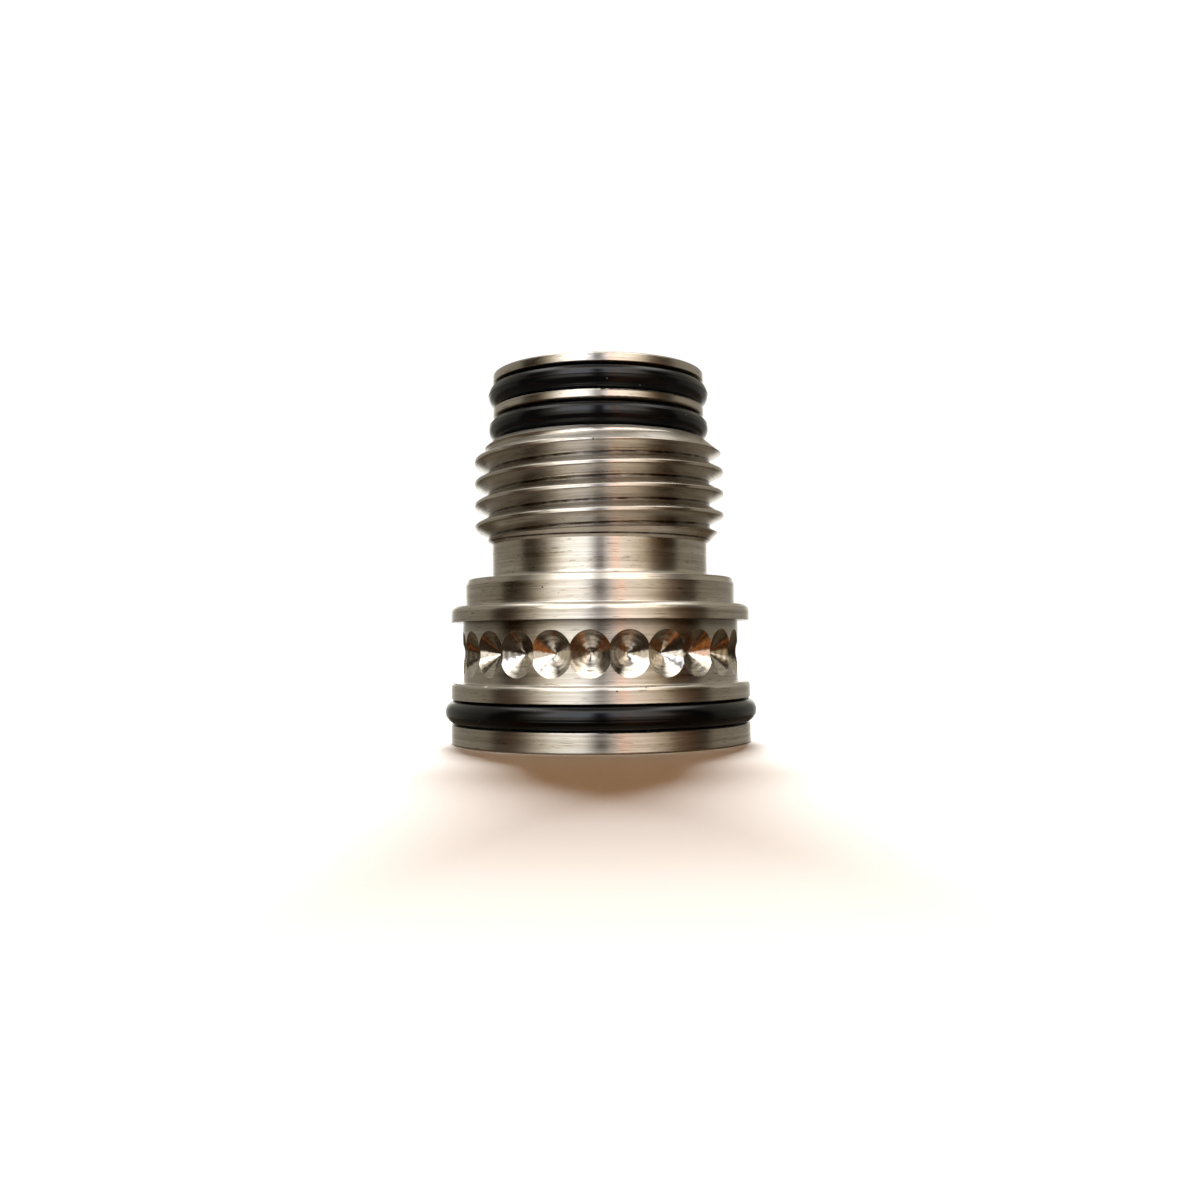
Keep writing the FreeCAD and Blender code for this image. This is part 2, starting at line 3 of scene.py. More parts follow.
import bpy
from mathutils import Euler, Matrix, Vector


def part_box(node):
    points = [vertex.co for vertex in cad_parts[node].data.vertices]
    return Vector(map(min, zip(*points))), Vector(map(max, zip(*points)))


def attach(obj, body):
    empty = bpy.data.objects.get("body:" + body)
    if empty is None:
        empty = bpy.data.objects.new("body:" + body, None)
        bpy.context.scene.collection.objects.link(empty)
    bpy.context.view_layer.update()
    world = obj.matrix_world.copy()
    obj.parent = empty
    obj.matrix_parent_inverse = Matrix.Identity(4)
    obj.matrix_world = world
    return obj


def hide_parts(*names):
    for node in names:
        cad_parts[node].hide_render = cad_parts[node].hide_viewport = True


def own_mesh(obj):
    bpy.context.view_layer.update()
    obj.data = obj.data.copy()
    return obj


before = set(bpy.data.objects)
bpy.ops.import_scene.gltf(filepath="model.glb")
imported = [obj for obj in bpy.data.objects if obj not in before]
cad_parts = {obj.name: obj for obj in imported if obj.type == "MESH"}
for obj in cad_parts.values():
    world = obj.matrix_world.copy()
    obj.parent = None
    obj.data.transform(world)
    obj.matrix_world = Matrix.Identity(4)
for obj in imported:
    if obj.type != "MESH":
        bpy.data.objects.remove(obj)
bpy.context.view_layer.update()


# ---------------------------------------------------------------- camera
# Level with the middle of the valve, close enough for its rings to show as flat ellipses,
# and leaning by half a degree.
MM = 0.001
camera_data = bpy.data.cameras.new("camera")
camera_data.sensor_width = 36.0
camera_data.lens = 34.4
camera_data.clip_start = 1 * MM
camera_data.clip_end = 20.0
camera = bpy.data.objects.new("camera", camera_data)
bpy.context.scene.collection.objects.link(camera)
bpy.context.scene.camera = camera
CAMERA_AIM_HEIGHT = 11.82 * MM
CAMERA_DISTANCE = 96.9 * MM
CAMERA_RISE = math.radians(-2.07)
CAMERA_ROLL = math.radians(-0.526)
camera.location = (0, -CAMERA_DISTANCE * math.cos(CAMERA_RISE),
                   CAMERA_AIM_HEIGHT + CAMERA_DISTANCE * math.sin(CAMERA_RISE))
camera.rotation_euler = Euler((math.radians(90) - CAMERA_RISE, 0, 0))
camera.rotation_euler.rotate_axis("Z", CAMERA_ROLL)


# ---------------------------------------------------------------- floor
# A sheet of plain matt white paper that the valve stands on, far wider than the view.
# Polished metal looks past it into the room, so the valve's rings aren't lost in white.
def hex_colour(text, brightness=1.0):
    """An sRGB hex colour as the linear numbers that the shaders take."""
    channels = [int(text[i:i + 2], 16) / 255 for i in (0, 2, 4)]
    linear = [c / 12.92 if c <= 0.04045 else ((c + 0.055) / 1.055) ** 2.4 for c in channels]
    return (*[c * brightness for c in linear], 1.0)


def set_inputs(tree, node, inputs):
    """Gives a node's inputs a value, another node's socket, or a node for its first output."""
    for name, value in inputs.items():
        if isinstance(value, bpy.types.Node):
            value = value.outputs[0]
        if isinstance(value, bpy.types.NodeSocket):
            tree.links.new(value, node.inputs[name])
        else:
            node.inputs[name].default_value = value


def add_node(tree, kind, settings=None, inputs=None):
    """Adds one shader node with its settings and its inputs."""
    node = tree.nodes.new(kind)
    for name, value in (settings or {}).items():
        setattr(node, name, value)
    set_inputs(tree, node, inputs or {})
    return node


def new_material(name, settings):
    """An empty node material, as (material, tree, shader), with the shader's plain settings."""
    material = bpy.data.materials.new(name)
    material.use_nodes = True
    tree = material.node_tree
    shader = tree.nodes["Principled BSDF"]
    set_inputs(tree, shader, settings)
    return material, tree, shader


FLOOR_SIZE = 0.8
bpy.ops.object.select_all(action="DESELECT")
bpy.ops.mesh.primitive_plane_add(size=FLOOR_SIZE, location=(0, 0, 0))
floor = bpy.context.active_object
floor.name = "paper_floor"
# White paper: matt, with the faintest warm tint. From below it is clear, so that the
# valve's underside can be looked at.
paper, tree, shader = new_material("white_paper", {
    "Base Color": hex_colour("F6F4F0"), "Roughness": 0.9, "Specular IOR Level": 0.1})
rays = add_node(tree, "ShaderNodeLightPath")
side = add_node(tree, "ShaderNodeNewGeometry")
unseen = add_node(tree, "ShaderNodeMath", {"operation": "MAXIMUM"}, {
    0: rays.outputs["Is Glossy Ray"], 1: side.outputs["Backfacing"]})
clear = add_node(tree, "ShaderNodeBsdfTransparent")
floor_mix = add_node(tree, "ShaderNodeMixShader", inputs={0: unseen, 1: shader, 2: clear})
set_inputs(tree, tree.nodes["Material Output"], {"Surface": floor_mix})
floor.data.materials.append(paper)


# ---------------------------------------------------------------- light
# A bright paper studio with one long soft window behind the valve. Its shadow tapers in front
# of the foot, where only the warm room still lights the paper. The room the metal mirrors is
# dark at both sides, bright between and pale beyond, so the valve takes upright bands.
bpy.context.scene.view_settings.view_transform = "Standard"
LEVEL_ZONES = [  # bearing from the camera's side, colour, brightness
    (-180, "FFFEFA", 1.8), (-164, "FDFBF3", 1.6), (-156, "DAD6CC", 0.9), (-146, "BEB8AC", 0.72),
    (-120, "B9B3A4", 0.7), (-91, "B4AC9A", 0.68), (-87, "3E3626", 0.3), (-76, "352E20", 0.28),
    (-66, "4A3E2C", 0.4), (-57, "A4967E", 0.85), (-46, "EAE0CA", 1.3), (-33, "FDF8EC", 2.0),
    (-14, "FFFDF8", 2.4), (-7, "EFEBE4", 1.3), (-2.5, "3E3A36", 0.5), (2.5, "3E3A36", 0.5),
    (7, "E9E4DE", 1.1), (14.7, "F8F4EE", 1.5), (16.5, "FF8C2C", 4.2), (18.3, "F8F4EE", 1.5),
    (32, "F4EADC", 1.4), (46, "D8C29E", 0.95), (58, "8A6840", 0.45), (73, "42301E", 0.3),
    (87, "3E3020", 0.3), (91, "BAB2A0", 0.7), (148, "BEB8AC", 0.72), (156, "DEDACF", 0.9),
    (166, "FAF6EC", 1.5), (180, "FFFEFA", 1.8)]
HIGH_ZONES = [
    (-180, "5A5248", 0.5), (-178, "FBF8F0", 3.6), (-170, "FBF7EE", 3.4), (-167, "6E6250", 0.7),
    (-162, "6E6250", 0.7), (-154, "C8C2B6", 0.9), (-92, "C4BEB0", 0.8), (-87, "5A4E3A", 0.5),
    (-68, "5A4E3C", 0.6), (-52, "D8CCB6", 1.4), (-40, "FFFFFF", 4.0), (-9, "E8F0FF", 4.6),
    (-4, "3E3A38", 0.4), (4, "3E3A38", 0.4), (9, "E8F0FF", 4.4), (15, "FFF4EA", 4.0),
    (17, "FF8A48", 3.6), (19, "FFF8F0", 4.0), (44, "F6ECDC", 3.0), (62, "96784E", 0.7),
    (70, "5A4A34", 0.55), (87, "52442F", 0.55), (92, "C4BCAA", 0.8), (154, "C6BEAE", 0.9),
    (162, "6E5E42", 0.7), (167, "6E5E42", 0.7), (170, "FBF3E4", 3.2), (178, "F8F2E6", 3.4),
    (180, "5A5248", 0.5)]
LOW_ZONES = [
    (-180, "2E2822", 0.5), (-177, "B0A490", 0.75), (-168, "A0937C", 0.75), (-164, "463A2C", 0.5),
    (-150, "7A6C58", 0.65), (-91, "6A5C48", 0.6), (-80, "3A2E22", 0.5), (-74, "A8602C", 0.8),
    (-68, "4A3828", 0.5), (-20, "6A5846", 0.5), (0, "3E3228", 0.4), (14, "6A5238", 0.6),
    (24, "C87C46", 0.9), (44, "9A6A38", 0.7), (56, "4A3828", 0.5), (70, "9A5A30", 0.8),
    (80, "3A2E22", 0.5), (91, "6A5C46", 0.6), (150, "7A6850", 0.65), (164, "46382A", 0.5),
    (168, "A8906C", 0.75), (177, "B09C7C", 0.75), (180, "2E2822", 0.5)]
world = bpy.data.worlds.new("studio")
bpy.context.scene.world = world
world.use_nodes = True
world.cycles.sampling_method = "NONE"
tree = world.node_tree
tree.nodes.clear()
place = add_node(tree, "ShaderNodeTexCoord")
split = add_node(tree, "ShaderNodeSeparateXYZ", inputs={"Vector": place.outputs["Generated"]})
ahead = add_node(tree, "ShaderNodeMath", {"operation": "MULTIPLY"}, {0: split.outputs["Y"], 1: -1.0})
bearing = add_node(tree, "ShaderNodeMath", {"operation": "ARCTAN2"}, {0: split.outputs["X"], 1: ahead})
turn = add_node(tree, "ShaderNodeMapRange", inputs={
    "Value": bearing, "From Min": -math.pi, "From Max": math.pi})


def room_zones(zones):
    """The room's colour all round at one height, from its zones by bearing."""
    node = add_node(tree, "ShaderNodeValToRGB", inputs={"Fac": turn})
    ramp = node.color_ramp
    ramp.interpolation = "EASE"
    while len(ramp.elements) < len(zones):
        ramp.elements.new(0.5)
    for element, (degrees, colour, brightness) in zip(ramp.elements, zones):
        element.position = (degrees + 180) / 360
        element.color = hex_colour(colour, brightness)
    return node.outputs["Color"]


# The room from level upwards, then its roof, the calm patch straight overhead, the part
# below level and the ground. Each blends in as a ray's height goes from start to full.
layers = [
    (0.2, 0.34, room_zones(HIGH_ZONES)), (0.72, 0.92, hex_colour("FFFDF8", 3.8)),
    (0.9, 0.97, hex_colour("D6D0C6", 0.85)), (-0.11, -0.24, room_zones(LOW_ZONES)),
    (-0.84, -0.97, hex_colour("A4947E", 0.9))]
colour = room_zones(LEVEL_ZONES)
for start, full, beyond in layers:
    share = add_node(tree, "ShaderNodeMapRange", {"interpolation_type": "SMOOTHSTEP"}, {
        "Value": split.outputs["Z"], "From Min": start, "From Max": full})
    colour = add_node(tree, "ShaderNodeMix", {"data_type": "RGBA"}, {
        0: share, 6: colour, 7: beyond}).outputs[2]
room = add_node(tree, "ShaderNodeBackground", inputs={"Color": colour, "Strength": 1.0})
haze = add_node(tree, "ShaderNodeBackground", inputs={"Color": hex_colour("FFB870"), "Strength": 0.24})
white = add_node(tree, "ShaderNodeBackground", inputs={"Color": hex_colour("FFFFFF"), "Strength": 1.05})
rays = add_node(tree, "ShaderNodeLightPath")
mirrored = add_node(tree, "ShaderNodeMixShader", inputs={
    0: rays.outputs["Is Glossy Ray"], 1: haze, 2: room})
seen = add_node(tree, "ShaderNodeMixShader", inputs={
    0: rays.outputs["Is Camera Ray"], 1: mirrored, 2: white})
add_node(tree, "ShaderNodeOutputWorld", inputs={"Surface": seen})

WINDOW_DISTANCE = 1.5
WINDOW_RISE = math.radians(24)
WINDOW_SHIFT = -0.02
window = bpy.data.lights.new("window", "AREA")
window.shape = "RECTANGLE"
window.size = 0.95
window.size_y = 0.2
window.energy = 134.0
lamp = bpy.data.objects.new("window", window)
bpy.context.scene.collection.objects.link(lamp)
lamp.location = (WINDOW_SHIFT, WINDOW_DISTANCE * math.cos(WINDOW_RISE),
                 WINDOW_DISTANCE * math.sin(WINDOW_RISE))
lamp.rotation_euler = (math.radians(90) - WINDOW_RISE, 0, math.pi)
lamp.visible_camera = False
lamp.visible_glossy = False


# ---------------------------------------------------------------- valve body
# One piece turned from stainless bar on a lathe. The tool leaves fine rings round every
# surface, which stretch each reflection along the axis, and the dimples were drilled from
# the side with a pointed drill that leaves rings of its own.
def ring_noise(tree, spacing, wander, detail=2.0):
    """Uneven rings round the axis, spacing apart along it and outwards from it."""
    place = add_node(tree, "ShaderNodeTexCoord").outputs["Object"]
    across = add_node(tree, "ShaderNodeVectorMath", {"operation": "MULTIPLY"}, {0: place, 1: (1, 1, 0)})
    unit = add_node(tree, "ShaderNodeVectorMath", {"operation": "NORMALIZE"}, {0: across})
    radius = add_node(tree, "ShaderNodeVectorMath", {"operation": "LENGTH"}, {0: across})
    round_it = add_node(tree, "ShaderNodeVectorMath", {"operation": "SCALE"}, {0: unit, "Scale": wander})
    along = add_node(tree, "ShaderNodeVectorMath", {"operation": "MULTIPLY_ADD"}, {
        0: place, 1: (0, 0, 1 / spacing), 2: round_it})
    outward = add_node(tree, "ShaderNodeMath", {"operation": "MULTIPLY"}, {
        0: radius.outputs["Value"], 1: 1 / spacing})
    return add_node(tree, "ShaderNodeTexNoise", {"noise_dimensions": "4D"}, {
        "Vector": along, "W": outward, "Scale": 1.0, "Detail": detail, "Roughness": 0.6})


def pits(tree, spacing, size):
    """A mask of small sparse pits, 1 in a pit: size across, one in about each spacing."""
    place = add_node(tree, "ShaderNodeTexCoord").outputs["Object"]
    cells = add_node(tree, "ShaderNodeTexVoronoi", inputs={"Vector": place, "Scale": 1 / spacing})
    edge = size / spacing / 2
    spot = add_node(tree, "ShaderNodeMapRange", inputs={
        "Value": cells.outputs["Distance"], "From Min": edge * 0.6, "From Max": edge,
        "To Min": 1.0, "To Max": 0.0})
    chosen = add_node(tree, "ShaderNodeSeparateXYZ", inputs={"Vector": cells.outputs["Color"]})
    kept = add_node(tree, "ShaderNodeMapRange", inputs={
        "Value": chosen.outputs["X"], "From Min": 0.55, "From Max": 0.6})
    return add_node(tree, "ShaderNodeMath", {"operation": "MULTIPLY"}, {0: spot, 1: kept})


def round_axis(tree):
    """The direction round the axis at each spot, which the lathe's rings follow."""
    place = add_node(tree, "ShaderNodeTexCoord").outputs["Object"]
    turn = add_node(tree, "ShaderNodeVectorMath", {"operation": "CROSS_PRODUCT"}, {0: (0, 0, 1), 1: place})
    return add_node(tree, "ShaderNodeVectorMath", {"operation": "NORMALIZE"}, {0: turn})


def turned_metal(name, light, dark, roughness=0.3, feed=0.16 * MM):
    """Metal turned on a lathe: feed rings, broken scratches, pits, and gloss drawn out across
    the rings. Returns the material, its tree, its shader and its bump node."""
    material, tree, shader = new_material(name, {
        "Metallic": 1.0, "Anisotropic": 0.75, "Anisotropic Rotation": 0.25})
    fine = ring_noise(tree, feed, 0.8)
    broad = ring_noise(tree, feed * 6, 1.6)
    broad_part = add_node(tree, "ShaderNodeMath", {"operation": "MULTIPLY"}, {0: broad, 1: 0.4})
    rings = add_node(tree, "ShaderNodeMath", {"operation": "MULTIPLY_ADD"}, {
        0: fine, 1: 0.6, 2: broad_part})
    shade = add_node(tree, "ShaderNodeMapRange", inputs={
        "Value": rings, "From Min": 0.36, "From Max": 0.66})
    clean = add_node(tree, "ShaderNodeMix", {"data_type": "RGBA"}, {
        0: shade, 6: hex_colour(dark), 7: hex_colour(light)})
    scratch = add_node(tree, "ShaderNodeMapRange", inputs={
        "Value": ring_noise(tree, feed * 0.7, 9.0, 1.0), "From Min": 0.62, "From Max": 0.7,
        "To Max": 0.45})
    marks = add_node(tree, "ShaderNodeMath", {"operation": "MAXIMUM"}, {
        0: scratch, 1: pits(tree, feed * 8, feed * 1.1)})
    marked = add_node(tree, "ShaderNodeMix", {"data_type": "RGBA"}, {
        0: marks, 6: clean.outputs[2], 7: hex_colour("4A4036")})
    gloss = add_node(tree, "ShaderNodeMapRange", inputs={
        "Value": broad, "From Min": 0.3, "From Max": 0.7, "To Min": roughness * 0.85,
        "To Max": roughness * 1.25})
    cut = add_node(tree, "ShaderNodeMath", {"operation": "MULTIPLY"}, {0: marks, 1: 0.7})
    height = add_node(tree, "ShaderNodeMath", {"operation": "SUBTRACT"}, {0: fine, 1: cut})
    bump = add_node(tree, "ShaderNodeBump", inputs={
        "Strength": 1.0, "Distance": 0.004 * MM, "Height": height})
    set_inputs(tree, shader, {"Base Color": marked.outputs[2], "Roughness": gloss, "Normal": bump,
                              "Tangent": round_axis(tree)})
    return material, tree, shader, bump


def give(node, material):
    """Puts one material on a node of the frame."""
    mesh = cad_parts[node].data
    mesh.materials.clear()
    mesh.materials.append(material)


# Stainless steel, turned: a warm grey with upright bands, with painted shade darkening the thread's roots
# and the band under the rib.
BAND_RADIUS = 11.48 * MM
DIMPLE_HEIGHT = 7.4 * MM
DIMPLE_REACH = 1.9 * MM
DIMPLE_STEP = math.radians(15)
DIMPLE_PHASE = math.radians(-93.9)
DRILL_RING = 0.42 * MM
THREAD_FOOT = 16.6 * MM
THREAD_TOP = 24.3 * MM
ROOT_RADIUS = 9.33 * MM
UNDER_RIB = 10.02 * MM
steel, tree, shader, feed_bump = turned_metal("turned_stainless_steel", "D2CDC5", "A79F93")
place = add_node(tree, "ShaderNodeTexCoord").outputs["Object"]
split = add_node(tree, "ShaderNodeSeparateXYZ", inputs={"Vector": place})
across = add_node(tree, "ShaderNodeVectorMath", {"operation": "MULTIPLY"}, {0: place, 1: (1, 1, 0)})
radius = add_node(tree, "ShaderNodeVectorMath", {"operation": "LENGTH"}, {0: across}).outputs["Value"]

# Each spot's place in its own dimple: how far sideways, upwards and out from the middle.
angle = add_node(tree, "ShaderNodeMath", {"operation": "ARCTAN2"}, {
    0: split.outputs["Y"], 1: split.outputs["X"]})
from_first = add_node(tree, "ShaderNodeMath", {"operation": "SUBTRACT"}, {0: angle, 1: DIMPLE_PHASE})
from_centre = add_node(tree, "ShaderNodeMath", {"operation": "WRAP"}, {
    0: from_first, 1: DIMPLE_STEP / 2, 2: -DIMPLE_STEP / 2})
sideways = add_node(tree, "ShaderNodeMath", {"operation": "MULTIPLY"}, {0: from_centre, 1: radius})
upwards = add_node(tree, "ShaderNodeMath", {"operation": "SUBTRACT"}, {
    0: split.outputs["Z"], 1: DIMPLE_HEIGHT})
offset = add_node(tree, "ShaderNodeCombineXYZ", inputs={"X": sideways, "Y": upwards})
out = add_node(tree, "ShaderNodeVectorMath", {"operation": "LENGTH"}, {0: offset}).outputs["Value"]
in_reach = add_node(tree, "ShaderNodeMath", {"operation": "LESS_THAN"}, {0: out, 1: DIMPLE_REACH})
sunk = add_node(tree, "ShaderNodeMath", {"operation": "LESS_THAN"}, {0: radius, 1: BAND_RADIUS})
inside = add_node(tree, "ShaderNodeMath", {"operation": "MULTIPLY"}, {0: in_reach, 1: sunk})

# The drill's own rings in a dimple, and the direction that they run in.
phase = add_node(tree, "ShaderNodeMath", {"operation": "MULTIPLY"}, {
    0: out, 1: 2 * math.pi / DRILL_RING})
wave = add_node(tree, "ShaderNodeMath", {"operation": "SINE"}, {0: phase})
drill_rings = add_node(tree, "ShaderNodeMath", {"operation": "MULTIPLY"}, {0: wave, 1: inside})
drill_bump = add_node(tree, "ShaderNodeBump", inputs={
    "Strength": 1.0, "Distance": 0.0018 * MM, "Normal": feed_bump, "Height": drill_rings})
lathe_way = round_axis(tree)
downwards = add_node(tree, "ShaderNodeMath", {"operation": "MULTIPLY"}, {0: upwards, 1: -1.0})
drill_level = add_node(tree, "ShaderNodeVectorMath", {"operation": "SCALE"}, {
    0: lathe_way, "Scale": downwards})
drill_rise = add_node(tree, "ShaderNodeCombineXYZ", inputs={"Z": sideways})
drill_turn = add_node(tree, "ShaderNodeVectorMath", {"operation": "ADD"}, {
    0: drill_level, 1: drill_rise})
drill_way = add_node(tree, "ShaderNodeVectorMath", {"operation": "NORMALIZE"}, {0: drill_turn})
cut_way = add_node(tree, "ShaderNodeMix", {"data_type": "VECTOR"}, {
    0: inside, 4: lathe_way, 5: drill_way})
smoother = add_node(tree, "ShaderNodeMapRange", inputs={
    "Value": inside, "From Min": 0.0, "From Max": 1.0, "To Min": 1.0, "To Max": 0.5})
gloss = add_node(tree, "ShaderNodeMath", {"operation": "MULTIPLY"}, {
    0: shader.inputs["Roughness"].links[0].from_socket, 1: smoother})

# Painted shade: dark brown in the thread's roots, patchy round the axis, and a painted shadow darkening
# the band up under the rib.
above_foot = add_node(tree, "ShaderNodeMath", {"operation": "GREATER_THAN"}, {
    0: split.outputs["Z"], 1: THREAD_FOOT})
below_top = add_node(tree, "ShaderNodeMath", {"operation": "LESS_THAN"}, {
    0: split.outputs["Z"], 1: THREAD_TOP})
in_thread = add_node(tree, "ShaderNodeMath", {"operation": "MULTIPLY"}, {0: above_foot, 1: below_top})
deep = add_node(tree, "ShaderNodeMapRange", inputs={
    "Value": radius, "From Min": ROOT_RADIUS, "From Max": ROOT_RADIUS + 0.025 * MM,
    "To Min": 1.0, "To Max": 0.0})
in_root = add_node(tree, "ShaderNodeMath", {"operation": "MULTIPLY"}, {0: in_thread, 1: deep})
# Ring noise breaks the roots' painted shade into patches round the axis.
root_shade_patches = add_node(tree, "ShaderNodeMapRange", inputs={
    "Value": ring_noise(tree, 0.25 * MM, 9.0), "From Min": 0.35, "From Max": 0.6, "To Min": 0.75})
root_shade = add_node(tree, "ShaderNodeMath", {"operation": "MULTIPLY"}, {0: in_root, 1: root_shade_patches})
# Painted shadow under the rib: the steel's colour darkens upwards towards the rib's underside.
rising = add_node(tree, "ShaderNodeMapRange", inputs={
    "Value": split.outputs["Z"], "From Min": 8.8 * MM, "From Max": 9.95 * MM, "To Max": 0.55})
below_rib = add_node(tree, "ShaderNodeMath", {"operation": "LESS_THAN"}, {
    0: split.outputs["Z"], 1: UNDER_RIB})
rib_shadow = add_node(tree, "ShaderNodeMath", {"operation": "MULTIPLY"}, {0: rising, 1: below_rib})
painted_shade = add_node(tree, "ShaderNodeMath", {"operation": "MAXIMUM"}, {0: root_shade, 1: rib_shadow})
# The painted shade in the roots and under the rib mixes the steel's colour towards dark brown.
painted_shade_colour = add_node(tree, "ShaderNodeMix", {"data_type": "RGBA"}, {
    0: painted_shade, 6: shader.inputs["Base Color"].links[0].from_socket, 7: hex_colour("2E2216")})
set_inputs(tree, shader, {"Base Color": painted_shade_colour.outputs[2], "Roughness": gloss, "Normal": drill_bump,
                          "Tangent": cut_way.outputs[1]})
give("valve_body", steel)


# ---------------------------------------------------------------- outer seal rings
# Three O-rings moulded in black nitrile rubber and stretched into their grooves. The mould
# leaves a hair-thin flash line round each, turned a little as the ring rolled into place.
def rubber(name, base, roughness):
    """Moulded black rubber: a soft gloss, a slight unevenness and a few grains of pale dust."""
    material, tree, shader = new_material(name, {"IOR": 1.52, "Specular IOR Level": 0.24})
    place = add_node(tree, "ShaderNodeTexCoord").outputs["Object"]
    cloud = add_node(tree, "ShaderNodeTexNoise", inputs={
        "Vector": place, "Scale": 1 / (2.2 * MM), "Detail": 3.0})
    skin = add_node(tree, "ShaderNodeTexNoise", inputs={
        "Vector": place, "Scale": 1 / (0.12 * MM), "Detail": 2.0})
    dust = pits(tree, 0.9 * MM, 0.09 * MM)
    clean = add_node(tree, "ShaderNodeMix", {"data_type": "RGBA"}, {
        0: cloud, 6: hex_colour(base), 7: hex_colour("0C0D10")})
    pale = add_node(tree, "ShaderNodeMath", {"operation": "MULTIPLY"}, {0: dust, 1: 0.6})
    dusty = add_node(tree, "ShaderNodeMix", {"data_type": "RGBA"}, {
        0: pale, 6: clean.outputs[2], 7: hex_colour("B8B4AC")})
    gloss = add_node(tree, "ShaderNodeMapRange", inputs={
        "Value": cloud, "From Min": 0.3, "From Max": 0.7, "To Min": roughness * 0.85,
        "To Max": roughness * 1.3})
    height = add_node(tree, "ShaderNodeMath", {"operation": "ADD"}, {0: skin, 1: dust})
    bump = add_node(tree, "ShaderNodeBump", inputs={
        "Strength": 1.0, "Distance": 0.0015 * MM, "Height": height})
    set_inputs(tree, shader, {"Base Color": dusty.outputs[2], "Roughness": gloss, "Normal": bump})
    return material


# Nitrile rubber: nearly black with a cool soft highlight.
nitrile = rubber("moulded_nitrile_rubber", "040506", 0.16)
FLASH_PROUD = 0.04 * MM
SECTION_POINTS = 120
RING_STEPS = 220


def o_ring(name, node, flash_degrees):
    """An O-ring where the frame's plain ring is, spun from a circle with a flash line on it."""
    low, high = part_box(node)
    section = high[2] - low[2]
    middle = high[0] - section / 2
    height = (high[2] + low[2]) / 2
    bpy.ops.object.select_all(action="DESELECT")
    bpy.ops.mesh.primitive_circle_add(vertices=SECTION_POINTS, radius=section / 2,
                                      location=(middle, 0, height), rotation=(math.pi / 2, 0, 0))
    ring = bpy.context.active_object
    ring.name = name
    bpy.ops.object.transform_apply(location=True, rotation=True, scale=True)
    flash = math.radians(flash_degrees)
    reach = section / 2
    for side in (flash, flash + math.pi):
        spot = (middle + reach * math.cos(side), 0, height + reach * math.sin(side))
        nearest = min(ring.data.vertices, key=lambda vertex: math.dist(vertex.co, spot))
        nearest.co.x += FLASH_PROUD * math.cos(side)
        nearest.co.z += FLASH_PROUD * math.sin(side)
    bpy.ops.object.mode_set(mode="EDIT")
    bpy.ops.mesh.select_all(action="SELECT")
    bpy.ops.mesh.spin(steps=RING_STEPS, angle=2 * math.pi, center=(0, 0, 0), axis=(0, 0, 1))
    bpy.ops.mesh.select_all(action="SELECT")
    bpy.ops.mesh.remove_doubles(threshold=0.0005 * MM)
    bpy.ops.mesh.normals_make_consistent(inside=False)
    bpy.ops.object.mode_set(mode="OBJECT")
    bpy.ops.object.shade_smooth()
    ring.data.materials.clear()
    ring.data.materials.append(nitrile)
    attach(ring, "housing")
    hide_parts(node)


o_ring("head_seal_ring", "head_o_ring", -14)
o_ring("nose_seal_ring_rear", "nose_o_ring_rear", 22)
o_ring("nose_seal_ring_front", "nose_o_ring_front", 4)
give("seat_o_ring", nitrile)


# ---------------------------------------------------------------- seat insert and inlet screen
# The seat is turned from harder stainless and pressed in from the nose against a ledge. The
# screen over it is etched from thin rolled sheet, and a snap ring holds both in.
def sheet_metal(name, light, dark, roughness, grain_width, pitted=0.5):
    """Stamped or rolled metal, tumbled smooth: fine straight grain, clouding and small dents."""
    material, tree, shader = new_material(name, {"Metallic": 1.0})
    place = add_node(tree, "ShaderNodeTexCoord").outputs["Object"]
    drawn = add_node(tree, "ShaderNodeVectorMath", {"operation": "MULTIPLY"}, {0: place, 1: (0.08, 1, 1)})
    grain = add_node(tree, "ShaderNodeTexNoise", inputs={
        "Vector": drawn, "Scale": 1 / grain_width, "Detail": 3.0})
    cloud = add_node(tree, "ShaderNodeTexNoise", inputs={
        "Vector": place, "Scale": 1 / (1.3 * MM), "Detail": 4.0})
    dents = add_node(tree, "ShaderNodeMath", {"operation": "MULTIPLY"}, {
        0: pits(tree, 0.7 * MM, 0.12 * MM), 1: pitted})
    both = add_node(tree, "ShaderNodeMath", {"operation": "ADD"}, {0: grain, 1: cloud})
    shade = add_node(tree, "ShaderNodeMapRange", inputs={
        "Value": both, "From Min": 0.75, "From Max": 1.25})
    clean = add_node(tree, "ShaderNodeMix", {"data_type": "RGBA"}, {
        0: shade, 6: hex_colour(dark), 7: hex_colour(light)})
    dented = add_node(tree, "ShaderNodeMix", {"data_type": "RGBA"}, {
        0: dents, 6: clean.outputs[2], 7: hex_colour("2A2622")})
    gloss = add_node(tree, "ShaderNodeMapRange", inputs={
        "Value": cloud, "From Min": 0.3, "From Max": 0.7, "To Min": roughness * 0.8,
        "To Max": roughness * 1.3})
    height = add_node(tree, "ShaderNodeMath", {"operation": "SUBTRACT"}, {0: grain, 1: dents})
    bump = add_node(tree, "ShaderNodeBump", inputs={
        "Strength": 1.0, "Distance": 0.003 * MM, "Height": height})
    set_inputs(tree, shader, {"Base Color": dented.outputs[2], "Roughness": gloss, "Normal": bump})
    return material


# Hardened stainless, finely turned: cooler and brighter than the body.
give("seat_insert", turned_metal("hardened_seat_steel", "D6D6D4", "B4B3B0", 0.24, 0.1 * MM)[0])
# Cold-rolled stainless sheet: a straight satin grain.
give("inlet_screen", sheet_metal("rolled_stainless_sheet", "CFCDC8", "9C9994", 0.3, 0.09 * MM))
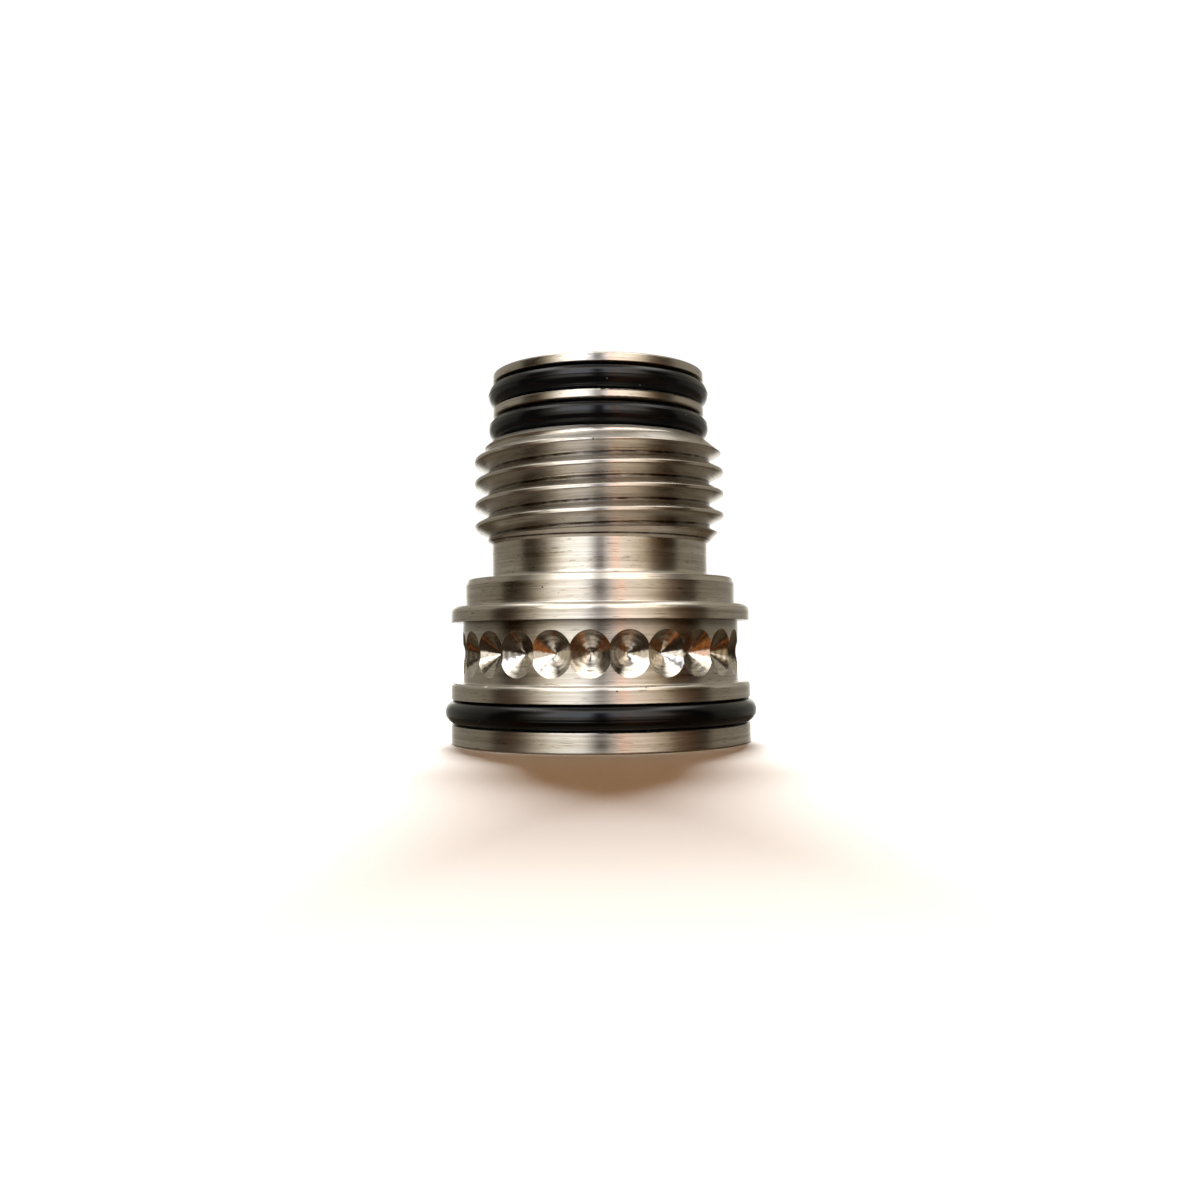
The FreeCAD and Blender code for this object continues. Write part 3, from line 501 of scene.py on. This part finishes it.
# Spring steel, oiled black: dark with a dull sheen, for the two snap rings.
snap_ring_steel = sheet_metal("blackened_spring_steel", "6A655F", "35312D", 0.38, 0.07 * MM, 0.9)
give("nose_retaining_ring", snap_ring_steel)
give("head_retaining_ring", snap_ring_steel)


# ---------------------------------------------------------------- poppet
# The poppet is turned in one piece with its stem and ground where it slides. A rubber disc
# seals its face, clamped by a small slotted screw.
# Ground stainless: close rings and a sharp gloss.
give("poppet", turned_metal("ground_poppet_steel", "D4D1CC", "ACA8A1", 0.22, 0.11 * MM)[0])
# Moulded rubber disc: black, duller than the outer rings.
give("poppet_seal", rubber("moulded_seal_rubber", "0C0C0D", 0.42))
# Machine screw steel: turned head, plain and bright.
screw_steel = turned_metal("machine_screw_steel", "C6C3BE", "8F8A83", 0.32, 0.13 * MM)[0]
give("seal_retainer_screw", screw_steel)


# ---------------------------------------------------------------- poppet spring
# A compression spring coiled from round stainless wire, its two ends ground flat. It stands
# on the carrier's washer and presses the poppet up against its seat.
SPRING_TURNS = 5.5
STEPS_A_TURN = 44
WIRE_POINTS = 20
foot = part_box("spring_seat_washer")[1][2]
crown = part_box("poppet_spring")[1][2]
WIRE_RADIUS = 0.35 * MM
MEAN_RADIUS = 3.4 * MM
overrun = WIRE_RADIUS / 3
bpy.ops.object.select_all(action="DESELECT")
bpy.ops.mesh.primitive_circle_add(vertices=WIRE_POINTS, radius=WIRE_RADIUS,
                                  location=(MEAN_RADIUS, 0, foot - overrun),
                                  rotation=(math.pi / 2, 0, 0))
spring = bpy.context.active_object
spring.name = "poppet_spring_coil"
bpy.ops.object.transform_apply(location=True, rotation=True, scale=True)
coil = spring.modifiers.new("coil", "SCREW")
coil.axis = "Z"
coil.angle = 2 * math.pi * SPRING_TURNS
coil.screw_offset = crown - foot + 2 * overrun
coil.steps = int(STEPS_A_TURN * SPRING_TURNS)
coil.render_steps = coil.steps
coil.use_merge_vertices = False
bpy.ops.object.modifier_apply(modifier="coil")
bpy.ops.object.mode_set(mode="EDIT")
bpy.ops.mesh.select_all(action="SELECT")
bpy.ops.mesh.fill_holes(sides=0)
bpy.ops.mesh.normals_make_consistent(inside=False)
for height, up in ((foot, -1), (crown, 1)):
    bpy.ops.mesh.select_all(action="SELECT")
    bpy.ops.mesh.bisect(plane_co=(0, 0, height), plane_no=(0, 0, up), use_fill=True, clear_outer=True)
bpy.ops.object.mode_set(mode="OBJECT")
bpy.ops.object.shade_smooth_by_angle(angle=math.radians(40))


def drawn_wire(name):
    """Drawn spring wire: bright, with die lines round the coil and a dull blush in places."""
    material, tree, shader = new_material(name, {"Metallic": 1.0})
    lines = ring_noise(tree, 0.09 * MM, 3.0)
    place = add_node(tree, "ShaderNodeTexCoord").outputs["Object"]
    cloud = add_node(tree, "ShaderNodeTexNoise", inputs={
        "Vector": place, "Scale": 1 / (1.1 * MM), "Detail": 3.0})
    blush = add_node(tree, "ShaderNodeMapRange", inputs={
        "Value": cloud, "From Min": 0.35, "From Max": 0.65})
    colour = add_node(tree, "ShaderNodeMix", {"data_type": "RGBA"}, {
        0: blush, 6: hex_colour("C9C8C6"), 7: hex_colour("9A958E")})
    gloss = add_node(tree, "ShaderNodeMapRange", inputs={
        "Value": lines, "From Min": 0.3, "From Max": 0.7, "To Min": 0.2, "To Max": 0.36})
    bump = add_node(tree, "ShaderNodeBump", inputs={
        "Strength": 1.0, "Distance": 0.003 * MM, "Height": lines})
    set_inputs(tree, shader, {"Base Color": colour.outputs[2], "Roughness": gloss, "Normal": bump})
    return material


# Stainless spring wire: bright, drawn smooth through a die.
spring.data.materials.clear()
spring.data.materials.append(drawn_wire("drawn_spring_wire"))
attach(spring, "spring_carrier_assembly")
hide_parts("poppet_spring")
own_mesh(spring)


# ---------------------------------------------------------------- spring carrier
# A turned spider with three arms slides in the body and carries the spring. A bronze bush
# pressed into it guides the stem, and washers take the spring and the screw below.
# Carrier steel: turned, a little greyer than the body.
give("spring_carrier", turned_metal("turned_carrier_steel", "C4C0B9", "938D84", 0.32, 0.15 * MM)[0])
# Sintered bronze: warm, grainy and duller, with open pores that hold oil.
give("guide_bush", sheet_metal("sintered_bronze", "B98F5C", "86643C", 0.42, 0.05 * MM, 1.0))
# Stamped steel washer, tumbled.
give("spring_seat_washer", sheet_metal("tumbled_steel_washer", "C2C0BC", "8C8984", 0.34, 0.1 * MM))
# Brass strip, stamped: yellow with a few dark dents.
brass = sheet_metal("stamped_brass", "D2AE68", "A88546", 0.3, 0.1 * MM)
give("thrust_washer", brass)


# ---------------------------------------------------------------- adjusting and lock screws
# Two hollow screws with hexagon mouths are turned from alloy steel. The inner one sets the
# spring's load, and the outer one locks it through a brass washer.
give("adjusting_screw", screw_steel)
give("lock_screw", screw_steel)
give("lock_washer", brass)
